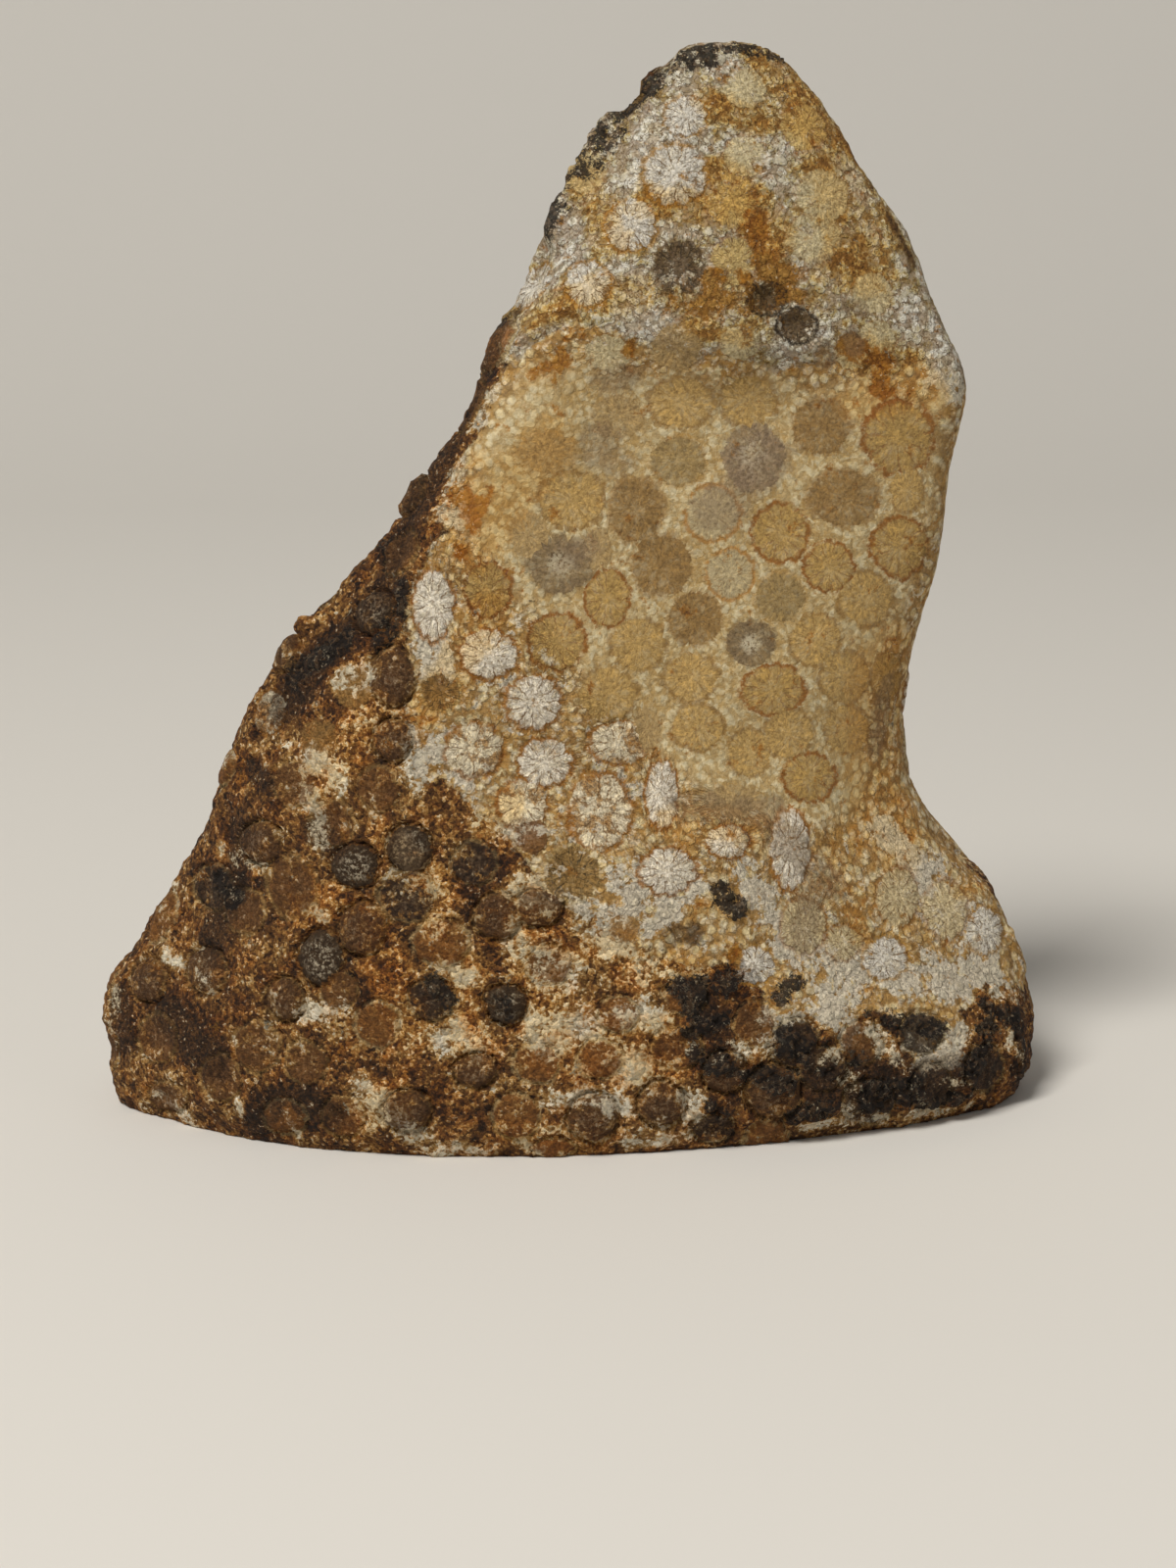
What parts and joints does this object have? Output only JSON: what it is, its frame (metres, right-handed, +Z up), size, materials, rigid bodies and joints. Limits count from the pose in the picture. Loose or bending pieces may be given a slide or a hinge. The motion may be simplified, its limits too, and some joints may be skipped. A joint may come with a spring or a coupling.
{
  "type": "fossil coral head",
  "caption": "Tapering lump of fossilised colony coral, sawn flat underneath to stand upright as a display piece.",
  "frame": {"origin": "middle of the stone's bounding box in plan, on the sawn underside it stands on", "axes": "+Z up, -Y towards the cream worn face, +X towards the low ledge on the right of that face"},
  "size_m": [0.1468, 0.0746, 0.1628],
  "materials": {
    "fossil_coral": "weathered, matt, iron stained with a cream worn face"
  },
  "bodies": {
    "root": {"fossil_coral_head": "fossil_coral"}
  },
  "joints": []
}
